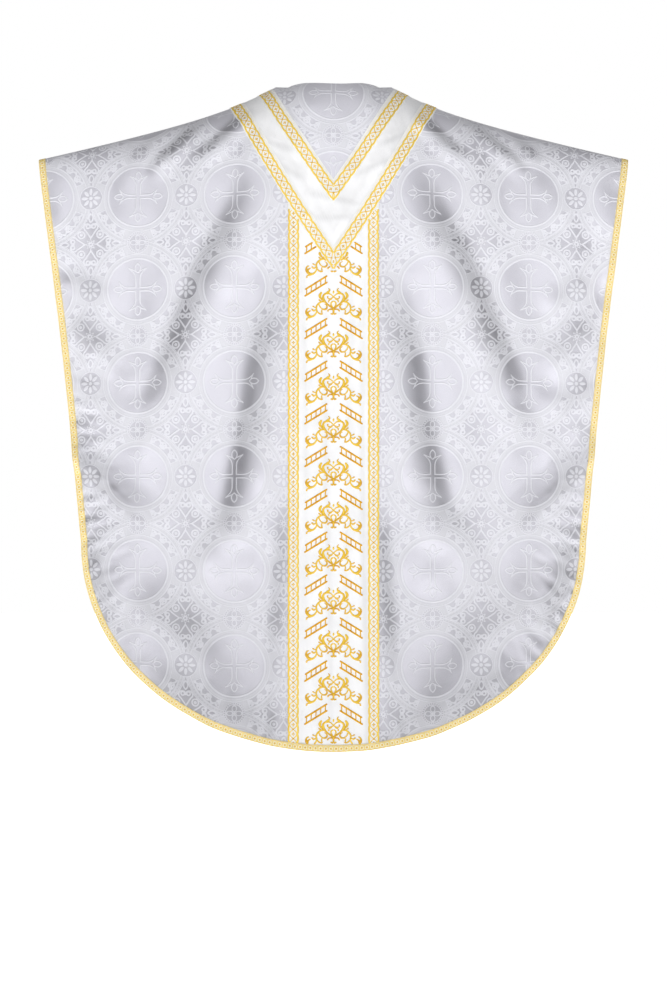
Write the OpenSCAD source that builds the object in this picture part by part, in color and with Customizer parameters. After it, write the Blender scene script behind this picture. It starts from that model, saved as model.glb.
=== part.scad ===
// Chasuble: a wide sleeveless vestment, open at both sides, that hangs from the shoulders.
// Two damask panels, back and front, are joined along the shoulder seam. Each carries a satin
// column and a satin V yoke edged with galloon, and a narrow galloon runs round its edge.
// X runs across the shoulders, +Y is the way the wearer faces, +Z is up, and the origin is the
// middle of the neck opening at the height of the shoulder seam. Sizes are in millimetres.

/* [Shoulders] */
// Half of the width from wing tip to wing tip
half_span = 572; // [540:4:620]
// Half of the width of the neck opening
neck_half = 88; // [80:1:96]
// How far the wing tips hang below the neck
tip_drop = 138; // [120:1:160]
// Height that the nape and throat would rise to if the neck were not cut out
nape_rise = 22; // [16:1:28]
// How far the back of the neck opening lies behind the shoulder seam
neck_back = 75; // [60:1:85]
// How far the front of the neck opening lies before the shoulder seam
neck_front = 100; // [85:1:102]

/* [Panels] */
// Height of the middle of the hem below the neck
hem_drop = 1266; // [1200:2:1300]
// Height below the neck at which the sides start to round into the hem
round_drop = 880; // [820:10:920]
// Half width of the panel where the sides start to round
round_half = 486; // [470:2:500]
// Roundness of the hem, 2 for an ellipse
hem_power = 2.08; // [2:0.02:2.4]
// Depth of the back panel at the shoulder blades
back_depth = 112; // [105:1:130]
// Depth of the back panel at the hem
back_hem_depth = 150; // [120:2:160]
// Depth of the front panel at the chest
front_depth = 108; // [105:1:130]
// Depth of the front panel at the hem
front_hem_depth = 130; // [110:2:150]
// Distance from the shoulder plane to either panel along the open sides
side_depth = 28; // [20:1:34]

/* [Orphreys and galloons] */
// Half width of the column, to the outer edges of its galloons
column_half = 85; // [75:1:95]
// Width of a column galloon
column_galloon_w = 20; // [16:1:24]
// Width of a yoke galloon, measured across the shoulder
yoke_galloon_w = 28; // [22:1:34]
// Half width of the yoke at the shoulder seam, to its outer edge
yoke_half = 202; // [190:1:215]
// Half width of the inner edge of the yoke at the shoulder seam
yoke_inner_half = 120; // [112:1:130]
// Height of the yoke's outer point below the neck
yoke_drop = 367; // [340:1:390]
// Height of the yoke's inner point below the neck
yoke_inner_drop = 194; // [180:1:210]
// Width of the edge galloon
edge_galloon_w = 13; // [10:0.5:16]

/* [Embroidery] */
// Distance from one crest to the next down the column
crest_pitch = 80; // [76:0.5:84]
// Number of crests in the column
crest_count = 11; // [8:1:11]
// Height of the first whole crest below the neck
first_crest_drop = 431; // [425:1:440]
// Width of a crest
crest_w = 104; // [90:1:110]
// Height of a crest
crest_h = 64; // [56:1:68]

/* [Cloth] */
// Thickness of the damask
shell_t = 1.0; // [0.6:0.1:1.2]
// Thickness of linings, orphreys, galloons and embroidery
trim_t = 0.8; // [0.5:0.1:1]
// Air between one layer and the next
layer_gap = 0.8; // [0.6:0.1:1]

/* [Hidden] */

BACK = -1;
FRONT = 1;

// Half of the gap that the shoulder seam leaves between the two panels
seam_gap = 0.3;

// Heights of the layers above the inner face of the shell
lining_h = -layer_gap - trim_t;
orphrey_h = shell_t + layer_gap;
on_column_h = orphrey_h + trim_t + layer_gap;
on_yoke_h = on_column_h + trim_t + 1.5 * layer_gap;
over_foot_h = on_yoke_h;

// The shoulder line: from the neck it falls in a curve and then runs straight to the wing tip
curve_start = 112;
curve_length = 110;
curve_fall = 38;
straight_slope = (tip_drop + 2 - curve_fall) / (half_span - curve_start);

// The drape behind the shoulder line: a short bend at the neck, a longer one over the shoulder
neck_bend = 46;
shoulder_bend = 100;
bend_from = 60;
bend_to = 180;

// Half width of the panels at neck height and how it narrows per millimetre of height
flare_half = 591;
flare_slope = 0.112;

// Depth below the shoulder line of the rows over the shoulder
bend_depth = 150;
bend_rows = 9;
hang_rows = 10;

// The corner of the grid, where its side meets its bottom edge, as an angle round the hem
corner_angle = 45;
corner = hem_point(corner_angle);

satin = [0.97, 0.97, 0.98];
damask = [0.85, 0.85, 0.89];
lining_cloth = [0.93, 0.93, 0.94];
gold = [0.92, 0.74, 0.30];
pale_gold = [0.96, 0.87, 0.62];
crest_gold = [0.94, 0.72, 0.18];
ladder_gold = [0.88, 0.60, 0.14];

function clamp01(t) = min(1, max(0, t));
function mix(a, b, t) = a + (b - a) * t;

// Height of the shoulder line at a place across the shoulders
function ridge(x) =
    let (a = abs(x))
    a < neck_half ? 1 + (nape_rise - 1) * (1 - pow(a / neck_half, 2))
    : a < curve_start ? mix(1, 2, (a - neck_half) / (curve_start - neck_half))
    : 2 - curve_fall * (1 - exp(-(a - curve_start) / curve_length))
        - straight_slope * (a - curve_start);

// A point on the round hem, from the side at 0 degrees to the middle at 90 degrees
function hem_point(angle) = [
    round_half * pow(cos(angle), 2 / hem_power),
    -round_drop - (hem_drop - round_drop) * pow(sin(angle), 2 / hem_power)
];

// Height of the hem at a place across the panel
function hem_z(x) =
    -round_drop - (hem_drop - round_drop)
        * pow(1 - pow(min(1, abs(x) / round_half), hem_power), 1 / hem_power);

// Half width of the panel at a height between the wing tip and the middle of the hem
function side_x(z) =
    z > -round_drop
    ? let (t = (-tip_drop - z) / (round_drop - tip_drop))
        mix(half_span, round_half, t) - 6 * sin(180 * clamp01(t))
    : round_half * pow(1 - pow(min(1, (-round_drop - z) / (hem_drop - round_drop)), hem_power),
        1 / hem_power);

// How deep the panel hangs behind or before the shoulder plane, away from the shoulder bend
function hang(x, z, face) =
    let (
        top = face == BACK ? back_depth : front_depth,
        bottom = face == BACK ? back_hem_depth : front_hem_depth,
        middle = mix(top, bottom, clamp01(-z / hem_drop)),
        across = x / (flare_half + flare_slope * z)
    )
    side_depth + (middle - side_depth) * (1 - across * across);

function bend(x) = mix(neck_bend, shoulder_bend, clamp01((abs(x) - bend_from) / (bend_to - bend_from)));

// A point of the cloth, h millimetres outside the inner face of the shell
function cloth(x, z, h, face) =
    let (
        below = max(0.01, ridge(x) - z),
        depth = hang(x, z, face),
        rise = 1 - exp(-below / bend(x)),
        slope = depth * (1 - rise) / (2 * bend(x) * sqrt(rise)),
        tilt = atan(slope),
        out = ridge(x) - z < 0.01 ? 0 : depth * sqrt(rise)
    )
    [x, face * (seam_gap + out + h * cos(tilt) * (out == 0 ? 0 : 1)),
        z + h * (out == 0 ? 1 : sin(tilt))];

// Depth below the shoulder line at which the neck opening is cut
function neck_depth(x, face) =
    let (
        a = abs(x) / neck_half,
        reach = (face == BACK ? neck_back : neck_front) * sqrt(max(0, 1 - a * a)),
        share = reach / hang(x, 0, face)
    )
    a >= 1 ? 0 : -bend(x) * ln(1 - share * share);

// Where a grid column that starts at a place on the shoulder line meets the hem
function fan(top_x) =
    let (start = column_half + yoke_galloon_w)
    clamp01((abs(top_x) - start) / (half_span - start));
function foot_x(top_x) =
    let (start = column_half + yoke_galloon_w)
    abs(top_x) < start ? abs(top_x) : mix(start, corner[0], fan(top_x));

// A grid of points over a panel. Its columns start at the shoulder line, keep straight over
// the column orphrey, and fan in towards the hem; its last row follows the hem.
function bend_share(row) = pow(min(1, row / bend_rows), 1.8);
function hang_share(row) = clamp01((row - bend_rows) / hang_rows);

function grid_x(top_x, row) =
    let (
        v = hang_share(row),
        side_z = mix(-tip_drop - bend_depth * bend_share(row), corner[1], v)
    )
    sign(top_x) * (mix(abs(top_x), foot_x(top_x), v)
        + fan(top_x) * (side_x(side_z) - mix(half_span, corner[0], v)));

function grid_z(top_x, row, face) =
    let (cut = neck_depth(top_x, face))
    row <= bend_rows
    ? ridge(grid_x(top_x, row)) - mix(cut, bend_depth, bend_share(row))
    : mix(ridge(top_x) - bend_depth, hem_z(foot_x(top_x)), hang_share(row));

// A closed sheet from two matching grids of points, the outer face first
module sheet(outer, inner, face) {
    rows = len(outer);
    cols = len(outer[0]);
    points = [for (side = [outer, inner], row = side, p = row) p];
    function at(side, r, c) = side * rows * cols + r * cols + c;
    faces = concat(
        [for (r = [0:rows - 2], c = [0:cols - 2])
            [at(0, r, c), at(0, r, c + 1), at(0, r + 1, c + 1)]],
        [for (r = [0:rows - 2], c = [0:cols - 2])
            [at(0, r, c), at(0, r + 1, c + 1), at(0, r + 1, c)]],
        [for (r = [0:rows - 2], c = [0:cols - 2])
            [at(1, r, c), at(1, r + 1, c + 1), at(1, r, c + 1)]],
        [for (r = [0:rows - 2], c = [0:cols - 2])
            [at(1, r, c), at(1, r + 1, c), at(1, r + 1, c + 1)]],
        [for (c = [0:cols - 2]) [at(0, 0, c), at(1, 0, c), at(1, 0, c + 1)]],
        [for (c = [0:cols - 2]) [at(0, 0, c), at(1, 0, c + 1), at(0, 0, c + 1)]],
        [for (c = [0:cols - 2]) [at(0, rows - 1, c), at(1, rows - 1, c + 1), at(1, rows - 1, c)]],
        [for (c = [0:cols - 2])
            [at(0, rows - 1, c), at(0, rows - 1, c + 1), at(1, rows - 1, c + 1)]],
        [for (r = [0:rows - 2]) [at(0, r, 0), at(1, r + 1, 0), at(1, r, 0)]],
        [for (r = [0:rows - 2]) [at(0, r, 0), at(0, r + 1, 0), at(1, r + 1, 0)]],
        [for (r = [0:rows - 2])
            [at(0, r, cols - 1), at(1, r, cols - 1), at(1, r + 1, cols - 1)]],
        [for (r = [0:rows - 2])
            [at(0, r, cols - 1), at(1, r + 1, cols - 1), at(0, r + 1, cols - 1)]]
    );
    polyhedron(points, face == BACK ? faces : [for (f = faces) [f[2], f[1], f[0]]]);
}

// A sheet that follows the cloth through flat places [x, z], one list of them per row
module cloth_sheet(places, h, t, face) {
    sheet(
        [for (row = places) [for (p = row) cloth(p[0], p[1], h + t, face)]],
        [for (row = places) [for (p = row) cloth(p[0], p[1], h, face)]],
        face
    );
}

// Grid columns across half a panel: close together round the neck, wider out to the wing tip
half_columns = concat(
    [0, 22, 44, column_half - column_galloon_w, 78, column_half],
    [neck_half, column_half + yoke_galloon_w, 130, 155, 180, 207],
    [for (i = [1:8]) mix(207, half_span, i / 8)]
);
columns = concat([for (i = [len(half_columns) - 1:-1:1]) -half_columns[i]], half_columns);

module panel(h, t, face) {
    cloth_sheet([for (row = [0:bend_rows + hang_rows])
        [for (c = columns) [grid_x(c, row), grid_z(c, row, face)]]], h, t, face);
}

// Half width of a yoke edge at a height: bowed slightly outwards from shoulder line to point
yoke_bow = 0.12;
function yoke_edge(edge, z) =
    let (f = clamp01((ridge(edge[0]) - z) / (ridge(edge[0]) + edge[1])))
    edge[0] * (1 - f) * (1 + yoke_bow * f);

// Height of a yoke edge at a place across the panel
function yoke_edge_z(edge, x) =
    let (
        b = 1 - yoke_bow,
        f = (sqrt(b * b + 4 * yoke_bow * (1 - abs(x) / edge[0])) - b) / (2 * yoke_bow)
    )
    mix(ridge(edge[0]), -edge[1], f);

// The place on a yoke edge at a depth below the shoulder line, found in a few steps
function yoke_place(edge, below, steps = 6, x = undef) =
    let (near = yoke_edge(edge, ridge(x == undef ? edge[0] : x) - below))
    steps == 0 ? [near, ridge(near) - below] : yoke_place(edge, below, steps - 1, near);

// Steps down one arm of the yoke: over the shoulder they match the rows of the panel
yoke_steps = bend_rows + 8;
function yoke_below(edge, i) =
    i <= bend_rows
    ? bend_depth * bend_share(i)
    : mix(bend_depth, ridge(0) + edge[1], (i - bend_rows) / (yoke_steps - bend_rows));

// A V band between an inner and an outer edge, each given as [half width, point drop]
module yoke_band(inner, outer, across, h, face) {
    function arm(edge, i) =
        i == yoke_steps ? [0, -edge[1]] : yoke_place(edge, yoke_below(edge, i));
    function place(edge, k) =
        k <= yoke_steps
        ? let (p = arm(edge, k)) [-p[0], p[1]]
        : arm(edge, 2 * yoke_steps - k);
    cloth_sheet([for (j = [0:across])
        [for (k = [0:2 * yoke_steps]) mix(place(inner, k), place(outer, k), j / across)]],
        h, trim_t, face);
}

// The galloons lap over the edges of the yoke's satin, and the outer one hides the column's top
function yoke_line(in_from_outer) =
    [yoke_half - in_from_outer, yoke_drop - 1.6 * in_from_outer];
function yoke_inner_line(out_from_inner) =
    [yoke_inner_half + out_from_inner, yoke_inner_drop + 1.6 * out_from_inner];
satin_tuck = 9;
column_tuck = 5;

module yoke_orphrey(face) {
    color(satin) yoke_band(yoke_inner_line(2), yoke_line(satin_tuck), 5, on_column_h, face);
}

module yoke_outer_galloon(face) {
    color(gold) yoke_band(yoke_line(yoke_galloon_w), yoke_line(0), 2, on_yoke_h, face);
}

module yoke_inner_galloon(face) {
    color(gold) yoke_band(yoke_inner_line(0), yoke_inner_line(yoke_galloon_w), 2, on_yoke_h, face);
}

column_rows = 14;
// The column stops this far above the edge of the shell
hem_gap = 1;

// A strip of the column between two places across, from a line under the yoke to the hem
module column_strip(xs, top_line, h, face) {
    cloth_sheet([for (row = [0:column_rows])
        [for (x = xs) [x, mix(yoke_edge_z(top_line, x), hem_z(x) + hem_gap, row / column_rows)]]],
        h, trim_t, face);
}

module column_orphrey(face) {
    inner = column_half - column_galloon_w;
    color(satin) column_strip([-column_half + 1, -inner, -44, -22, 0, 22, 44, inner, column_half - 1],
        yoke_line(1.5 * yoke_galloon_w), orphrey_h, face);
}

module column_galloon(side, face) {
    edge = side * column_half;
    inner = side * (column_half - column_galloon_w);
    color(gold)
        column_strip([min(edge, inner), max(edge, inner)], yoke_line(column_tuck), on_column_h, face);
}

// Where the edge galloon runs: down one side, round the hem and up the other side
side_steps = 16;
hem_steps = 14;
edge_run = concat(
    [for (i = [0:side_steps - 1])
        let (z = mix(-tip_drop, -round_drop, pow(i / side_steps, 2))) [side_x(z), z]],
    [for (i = [0:hem_steps]) hem_point(90 * i / hem_steps)]
);
edge_path = concat(
    [for (p = edge_run) [-p[0], p[1]]],
    [for (i = [len(edge_run) - 2:-1:0]) edge_run[i]]
);

function inward(path, i) =
    let (
        a = path[max(0, i - 1)],
        b = path[min(len(path) - 1, i + 1)],
        d = (b - a) / norm(b - a)
    )
    [-d[1], d[0]];

// The edge galloon rises to cross over the foot of the column
rise_margin = 35;
rise_run = 40;
function edge_height(x) =
    mix(over_foot_h, orphrey_h, clamp01((abs(x) - column_half - rise_margin) / rise_run));

// The galloon's outer edge stays just inside the edge of the shell
edge_inset = 0.5;

module edge_galloon(face) {
    last = len(edge_path) - 1;
    function place(i, w) =
        let (p = edge_path[i] + w * inward(edge_path, i))
        i == 0 || i == last
            ? [sign(p[0]) * (half_span - w), ridge(half_span - w) - 1]
            : p;
    function row(w, t) = [for (i = [0:last])
        let (p = place(i, w)) cloth(p[0], p[1], edge_height(p[0]) + t, face)];
    color(pale_gold) sheet(
        [row(edge_galloon_w, trim_t), row(edge_inset, trim_t)],
        [row(edge_galloon_w, 0), row(edge_inset, 0)],
        face
    );
}

// Places a flat motif on the column at a height, leaning with the cloth
module on_column(z, h, face) {
    y = cloth(0, z, h, face)[1];
    lean = atan((cloth(0, z - 40, h, face)[1] - cloth(0, z + 40, h, face)[1]) / 80);
    translate([0, y, z]) rotate([90 + lean, 0, 0])
        translate([0, 0, face == BACK ? 0 : -trim_t]) linear_extrude(trim_t) children();
}

// Half of a crest's outline, as shares of its half width and height, from top to bottom
crest_outline = [
    [0, 1], [0.12, 0.8], [0.2, 0.95], [0.34, 0.55], [0.42, 0.7], [0.5, 0.3], [0.44, 0],
    [0.6, -0.2], [0.82, -0.3], [1, -0.6], [0.86, -1], [0.66, -0.85], [0.42, -0.55],
    [0.22, -0.5], [0.16, -0.85], [0, -0.95]
];

module crest() {
    polygon(concat(
        [for (p = crest_outline) [p[0] * crest_w / 2, p[1] * crest_h / 2]],
        [for (i = [len(crest_outline) - 2:-1:1])
            [-crest_outline[i][0] * crest_w / 2, crest_outline[i][1] * crest_h / 2]]
    ));
}

ladder_run = 44;
ladder_rise = 27;
ladder_gauge = 12;
ladder_centre = 37;
rail_w = 2.4;
ladder_windows = 4;

// A slanted ladder: two rails and five rungs, rising towards the middle of the column
module ladder(side) {
    function slant(x, y) = [side * x, y - ladder_rise * (x / ladder_run)];
    module slab(x0, x1, y0, y1) {
        polygon([slant(x0, y0), slant(x1, y0), slant(x1, y1), slant(x0, y1)]);
    }
    pitch = (ladder_run - rail_w) / ladder_windows;
    translate([side * ladder_centre, 0]) difference() {
        slab(-ladder_run / 2, ladder_run / 2, -ladder_gauge / 2, ladder_gauge / 2);
        for (i = [0:ladder_windows - 1]) {
            x0 = -ladder_run / 2 + rail_w + i * pitch;
            slab(x0, x0 + pitch - rail_w, -ladder_gauge / 2 + rail_w, ladder_gauge / 2 - rail_w);
        }
    }
}

// How far a ladder pair stands above the middle of its crest
ladder_above = 34;
// Extra height that keeps a flat motif clear of the curved column
motif_lift = 0.6;

// The lowest crest is cut off by the edge galloon
module crest_embroidery(face) {
    foot_z = -hem_drop + edge_galloon_w + 2;
    color(crest_gold) for (i = [0:crest_count - 1]) {
        z = -first_crest_drop - i * crest_pitch;
        on_column(z, on_column_h + motif_lift, face) intersection() {
            crest();
            translate([-crest_w, foot_z - z]) square([2 * crest_w, 2 * crest_pitch * crest_count]);
        }
    }
}

module ladder_embroidery(face) {
    color(ladder_gold) for (i = [0:crest_count - 1], side = [-1, 1])
        on_column(-first_crest_drop - i * crest_pitch + ladder_above, on_column_h + motif_lift, face)
            ladder(side);
}

module shell(face) {
    color(damask) panel(0, shell_t, face);
}

module lining(face) {
    color(lining_cloth) panel(lining_h, trim_t, face);
}

for (side = [["back", BACK], ["front", FRONT]]) {
    name = side[0];
    face = side[1];
    shell(face);
    lining(face);
    column_orphrey(face);
    yoke_orphrey(face);
    column_galloon(-1, face);
    column_galloon(1, face);
    yoke_inner_galloon(face);
    yoke_outer_galloon(face);
    edge_galloon(face);
    crest_embroidery(face);
    ladder_embroidery(face);
}
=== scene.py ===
import math

import bpy
import numpy as np
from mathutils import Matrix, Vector

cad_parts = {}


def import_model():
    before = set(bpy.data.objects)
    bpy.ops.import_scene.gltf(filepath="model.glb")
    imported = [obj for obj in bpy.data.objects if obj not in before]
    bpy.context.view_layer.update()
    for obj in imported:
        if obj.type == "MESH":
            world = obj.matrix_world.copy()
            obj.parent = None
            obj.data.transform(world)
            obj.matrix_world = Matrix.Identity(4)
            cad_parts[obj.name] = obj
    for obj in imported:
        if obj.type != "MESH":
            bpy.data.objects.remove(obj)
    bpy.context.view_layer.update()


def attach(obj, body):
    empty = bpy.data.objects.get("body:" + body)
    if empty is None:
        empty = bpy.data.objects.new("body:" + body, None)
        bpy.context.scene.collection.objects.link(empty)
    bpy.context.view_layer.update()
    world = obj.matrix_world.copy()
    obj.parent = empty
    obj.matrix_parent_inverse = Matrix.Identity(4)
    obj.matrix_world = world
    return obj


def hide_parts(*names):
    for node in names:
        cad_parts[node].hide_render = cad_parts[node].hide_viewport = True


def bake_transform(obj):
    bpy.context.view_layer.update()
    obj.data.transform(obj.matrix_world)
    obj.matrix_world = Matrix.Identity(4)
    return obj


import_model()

BACK, FRONT = -1, 1
FACES = {"back": BACK, "front": FRONT}
MM = 0.001

# ------------------------------------------------------------------ drape
# Lengths are millimetres until a mesh is built. The drape is the CAD model's own.
HALF_SPAN, NECK_HALF, TIP_DROP = 572.0, 88.0, 138.0
NECK_REACH = {BACK: 75.0, FRONT: 100.0}
NAPE_RISE, NECK_JOIN, SHOULDER_FROM, SHOULDER_SAG = 21.0, 24.0, 112.0, 38.0
STRAIGHT_SLOPE = (TIP_DROP + 2 - SHOULDER_SAG) / (HALF_SPAN - SHOULDER_FROM)
HEM_DROP, ROUND_DROP, ROUND_HALF, HEM_POWER = 1266.0, 880.0, 486.0, 2.08
TOP_DEPTH = {BACK: 112.0, FRONT: 108.0}
HEM_DEPTH = {BACK: 150.0, FRONT: 130.0}
SIDE_DEPTH, BEND_DEPTH, SIDE_BOW = 28.0, 150.0, 6.0
HALF_GAP = 0.05
COLUMN_HALF, COLUMN_TAPE = 85.0, 20.0
YOKE_HALF, YOKE_DROP, YOKE_INNER_HALF, YOKE_INNER_DROP, YOKE_TAPE = 202.0, 367.0, 120.0, 194.0, 28.0
YOKE_STEEP = 1.6
EDGE_TAPE = 13.0
CREST_PITCH, FIRST_CREST, CREST_COUNT = 80.0, -431.0, 11
NAPE_SHIFT = -19.0


def clamp01(v):
    return np.clip(v, 0.0, 1.0)


def mix(a, b, t):
    return a + (b - a) * t


def smooth(t):
    t = clamp01(t)
    return t * t * (3 - 2 * t)


def ridge(x):
    """Height of the shoulder ridge, where back and front meet."""
    a = np.abs(x)
    nape = 1 + NAPE_RISE * (1 - (a / NECK_HALF) ** 2)
    join = 1 + clamp01((a - NECK_HALF) / NECK_JOIN)
    far = np.maximum(a - SHOULDER_FROM, 0)
    arm = 2 - SHOULDER_SAG * (1 - np.exp(-far / 110)) - STRAIGHT_SLOPE * far
    return np.where(a < NECK_HALF, nape, np.where(a < SHOULDER_FROM, join, arm))


def hem_point(angle):
    """Point of the rounded hem, from the side (0 degrees) to the middle (90)."""
    a = np.radians(angle)
    c, s = np.clip(np.cos(a), 0, 1), np.clip(np.sin(a), 0, 1)
    return (
        ROUND_HALF * c ** (2 / HEM_POWER),
        -ROUND_DROP - (HEM_DROP - ROUND_DROP) * s ** (2 / HEM_POWER),
    )


def hem_z(x):
    t = np.minimum(1, np.abs(x) / ROUND_HALF) ** HEM_POWER
    return -ROUND_DROP - (HEM_DROP - ROUND_DROP) * (1 - t) ** (1 / HEM_POWER)


def side_x(z):
    """Half width of the garment at a height."""
    t = (-TIP_DROP - z) / (ROUND_DROP - TIP_DROP)
    upper = mix(HALF_SPAN, ROUND_HALF, t) - SIDE_BOW * np.sin(np.pi * clamp01(t))
    low = np.minimum(1, np.maximum(0, -ROUND_DROP - z) / (HEM_DROP - ROUND_DROP))
    lower = ROUND_HALF * (1 - low**HEM_POWER) ** (1 / HEM_POWER)
    return np.where(z > -ROUND_DROP, upper, lower)


def hang(x, z, face):
    """How far the cloth hangs out from the middle plane."""
    deep = mix(TOP_DEPTH[face], HEM_DEPTH[face], clamp01(-z / HEM_DROP))
    return SIDE_DEPTH + (deep - SIDE_DEPTH) * (1 - (x / (591 + 0.112 * z)) ** 2)


def bend_of(x):
    """Length over which the cloth bends from the ridge to hanging."""
    return mix(46, 100, clamp01((np.abs(x) - 60) / 120))


def neck_depth(x, face):
    """How far below the ridge the neckline is cut."""
    a = np.minimum(np.abs(x) / NECK_HALF, 1)
    share = NECK_REACH[face] * np.sqrt(1 - a**2) / hang(x, 0.0 * x, face)
    return -bend_of(x) * np.log(1 - share**2)


# ------------------------------------------------------------------ folds
# (points down the dark side of a fold, height, inner width, outer width)
FOLDS = [
    ([(140, -150), (196, -266), (238, -343), (304, -504), (350, -640), (364, -730)], 12.5, 84, 46),
    ([(100, -340), (125, -438), (149, -541), (160, -620), (182, -731), (206, -820), (250, -880), (278, -970)],
     11.5, 62, 46),
    ([(92, -780), (97, -900), (105, -1000), (110, -1100), (112, -1160)], 6.5, 30, 30),
    ([(150, -40), (186, -84), (228, -126), (276, -160)], 9.5, 30, 24),
    ([(240, -46), (284, -94), (330, -142), (372, -184)], 8.0, 28, 22),
    ([(336, -70), (368, -112), (410, -160)], 5.0, 26, 20),
    ([(520, -372), (470, -402), (414, -440)], 5.0, 34, 24),
    ([(515, -452), (450, -500), (372, -560)], 6.5, 40, 28),
    ([(500, -580), (450, -612), (400, -656)], 5.0, 36, 26),
    ([(560, -684), (500, -726), (452, -762), (400, -806), (346, -842), (300, -858)], 15.0, 44, 26),
    ([(474, -880), (452, -940), (420, -1010), (398, -1040)], 7.5, 44, 30),
    ([(360, -1108), (320, -1146), (250, -1188), (160, -1226), (98, -1240)], 8.0, 52, 34),
    ([(404, -930), (340, -1000), (262, -1046), (180, -1060)], 5.0, 64, 50),
    ([(300, -1010), (240, -1090), (180, -1150), (130, -1180)], 4.0, 50, 40),
]
# (x, height) of the creases down the column
COLUMN_CREASES = [(52, 0.9), (-18, 0.55), (-64, 0.5), (22, 0.45)]
# the two ends of each crease across the yoke
YOKE_CREASES = [
    ((-132, -110), (-70, -130)),
    ((-112, -150), (-50, -188)),
    ((84, -120), (154, -86)),
    ((36, -178), (106, -146)),
    ((-64, -262), (34, -256)),
    ((-44, -212), (50, -232)),
]
CELL = 4.0
X_AXIS = np.arange(-604.0, 605.0, CELL)
Z_AXIS = np.arange(-1296.0, 45.0, CELL)
FOLD_POINTS = 70


def run_of(line):
    """Length along a line at each of its points."""
    return np.concatenate([[0], np.cumsum(np.linalg.norm(np.diff(line, axis=0), axis=1))])


def points_at(at, run, line):
    return np.stack([np.interp(at, run, line[:, k]) for k in range(line.shape[1])], 1)


def tangent_of(line, *run):
    tangent = np.gradient(line, *run, axis=0)
    return tangent / np.linalg.norm(tangent, axis=1)[:, None]


def spline(points, count, closed=False):
    """Points on a Catmull-Rom curve through the given ones, evenly spaced."""
    p = np.asarray(points, float)
    if len(p) == 2 and not closed:
        fine = np.linspace(p[0], p[1], 40)
    else:
        if closed:
            ring = np.vstack([p[-1], p, p[0], p[1]])
        else:
            ring = np.vstack([2 * p[0] - p[1], p, 2 * p[-1] - p[-2]])
        t = np.linspace(0, 1, 24, endpoint=False)[:, None]
        parts = []
        for i in range(len(ring) - 3):
            a, b, c, d = ring[i : i + 4]
            square, cube = 2 * a - 5 * b + 4 * c - d, 3 * b - a - 3 * c + d
            parts.append(0.5 * (2 * b + (c - a) * t + square * t**2 + cube * t**3))
        fine = np.vstack(parts + [ring[-2][None]])
    run = run_of(fine)
    return points_at(np.linspace(0, run[-1], count), run, fine)


def add_folds(lift, painted_shade, gx, gz, face):
    """The long folds: low on the inner side, steep on the outer, with painted shade darkest just past the
    top.
    """
    for i, (points, height, inner, outer) in enumerate(FOLDS):
        for side in (-1, 1):
            drift = 1 + 0.03 * math.sin(1.7 * i + 2.1 * side + face)
            tall = height * (1 + 0.22 * math.sin(2.3 * i - 1.3 * side + 2 * face))
            line = spline(points, FOLD_POINTS) * np.array([side * drift, 1 / drift**0.3])
            tangent = tangent_of(line)
            d2 = (gx[..., None] - line[:, 0]) ** 2 + (gz[..., None] - line[:, 1]) ** 2
            k = np.argmin(d2, axis=-1)
            dx, dz = gx - line[k, 0], gz - line[k, 1]
            off = side * (dx * -tangent[k, 1] + dz * tangent[k, 0])
            away = np.sqrt(dx**2 + dz**2) * np.sign(off)
            share = k / (FOLD_POINTS - 1.0)
            taper = smooth(share / 0.3) * smooth((1 - share) / 0.4)
            top = 0.4 * outer
            body = np.where(
                away < -top,
                smooth((away + inner + top) / inner),
                1 - smooth((away + top) / outer),
            )
            lift += tall * taper * body
            # painted shade along the fold, darkest on the steep outer flank just past its top
            past = (away - 0.05 * outer) / outer
            dark = np.exp(-(np.abs(past / np.where(past > 0, 0.48, 0.8)) ** 2.5))
            painted_shade += min(tall / 8.0, 1.2) * taper * dark


def add_crumples(lift, gx, gz, face):
    """Soft waves all over, and shorter ones in scattered patches and along the sides."""
    rng = np.random.default_rng(11 + face)
    for _ in range(16):
        wide = rng.uniform(46, 150)
        lean = rng.uniform(-0.28, 0.28)
        phase = rng.uniform(0, 2 * math.pi)
        wander = rng.uniform(150, 420)
        wave = np.sin(2 * math.pi * (gx + lean * gz) / wide + phase + 1.3 * np.sin(gz / wander + phase))
        lift += 0.0055 * wide * wave
    patches = 0.5 + 0.5 * np.sin(gx / 61 + 1.3 * face) * np.sin(gz / 83 + 0.7 * face)
    where = smooth(patches + 0.5 * smooth((np.abs(gx) - 330) / 150))
    for _ in range(22):
        wide = rng.uniform(44, 96)
        turn = rng.uniform(0, math.pi)
        phase = rng.uniform(0, 2 * math.pi)
        bent = 0.8 * np.sin(gx / rng.uniform(60, 140) + phase) + 0.8 * np.sin(gz / rng.uniform(60, 140))
        across = gx * math.cos(turn) + gz * math.sin(turn)
        lift += 0.0026 * wide * where * np.sin(2 * math.pi * across / wide + phase + bent)


def add_column_creases(lift, painted_shade, gx, gz):
    for at, tall in COLUMN_CREASES:
        line = at + 5 * np.sin(gz / 210 + at)
        fade = smooth((-300 - gz) / 160) * (0.75 + 0.25 * np.sin(gz / 160 + at))
        lift += tall * fade * np.exp(-(((gx - line) / 7.5) ** 2))
        # painted shade in a narrow line just beside each crease
        painted_shade += 0.55 * tall * fade * np.exp(-(((gx - line - 7) / 6.0) ** 2))


def add_yoke_creases(lift, painted_shade, gx, gz):
    for (ax, az), (bx, bz) in YOKE_CREASES:
        run = math.hypot(bx - ax, bz - az)
        along = ((gx - ax) * (bx - ax) + (gz - az) * (bz - az)) / run**2
        off = ((gz - az) * (bx - ax) - (gx - ax) * (bz - az)) / run
        fade = smooth((along + 0.25) / 0.5) * smooth((1.25 - along) / 0.5)
        lift += 1.5 * fade * np.exp(-((off / 8.0) ** 2))
        # painted shade in a narrow line just beside each crease
        painted_shade += 0.8 * fade * np.exp(-(((off + 8) / 6.5) ** 2))


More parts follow.
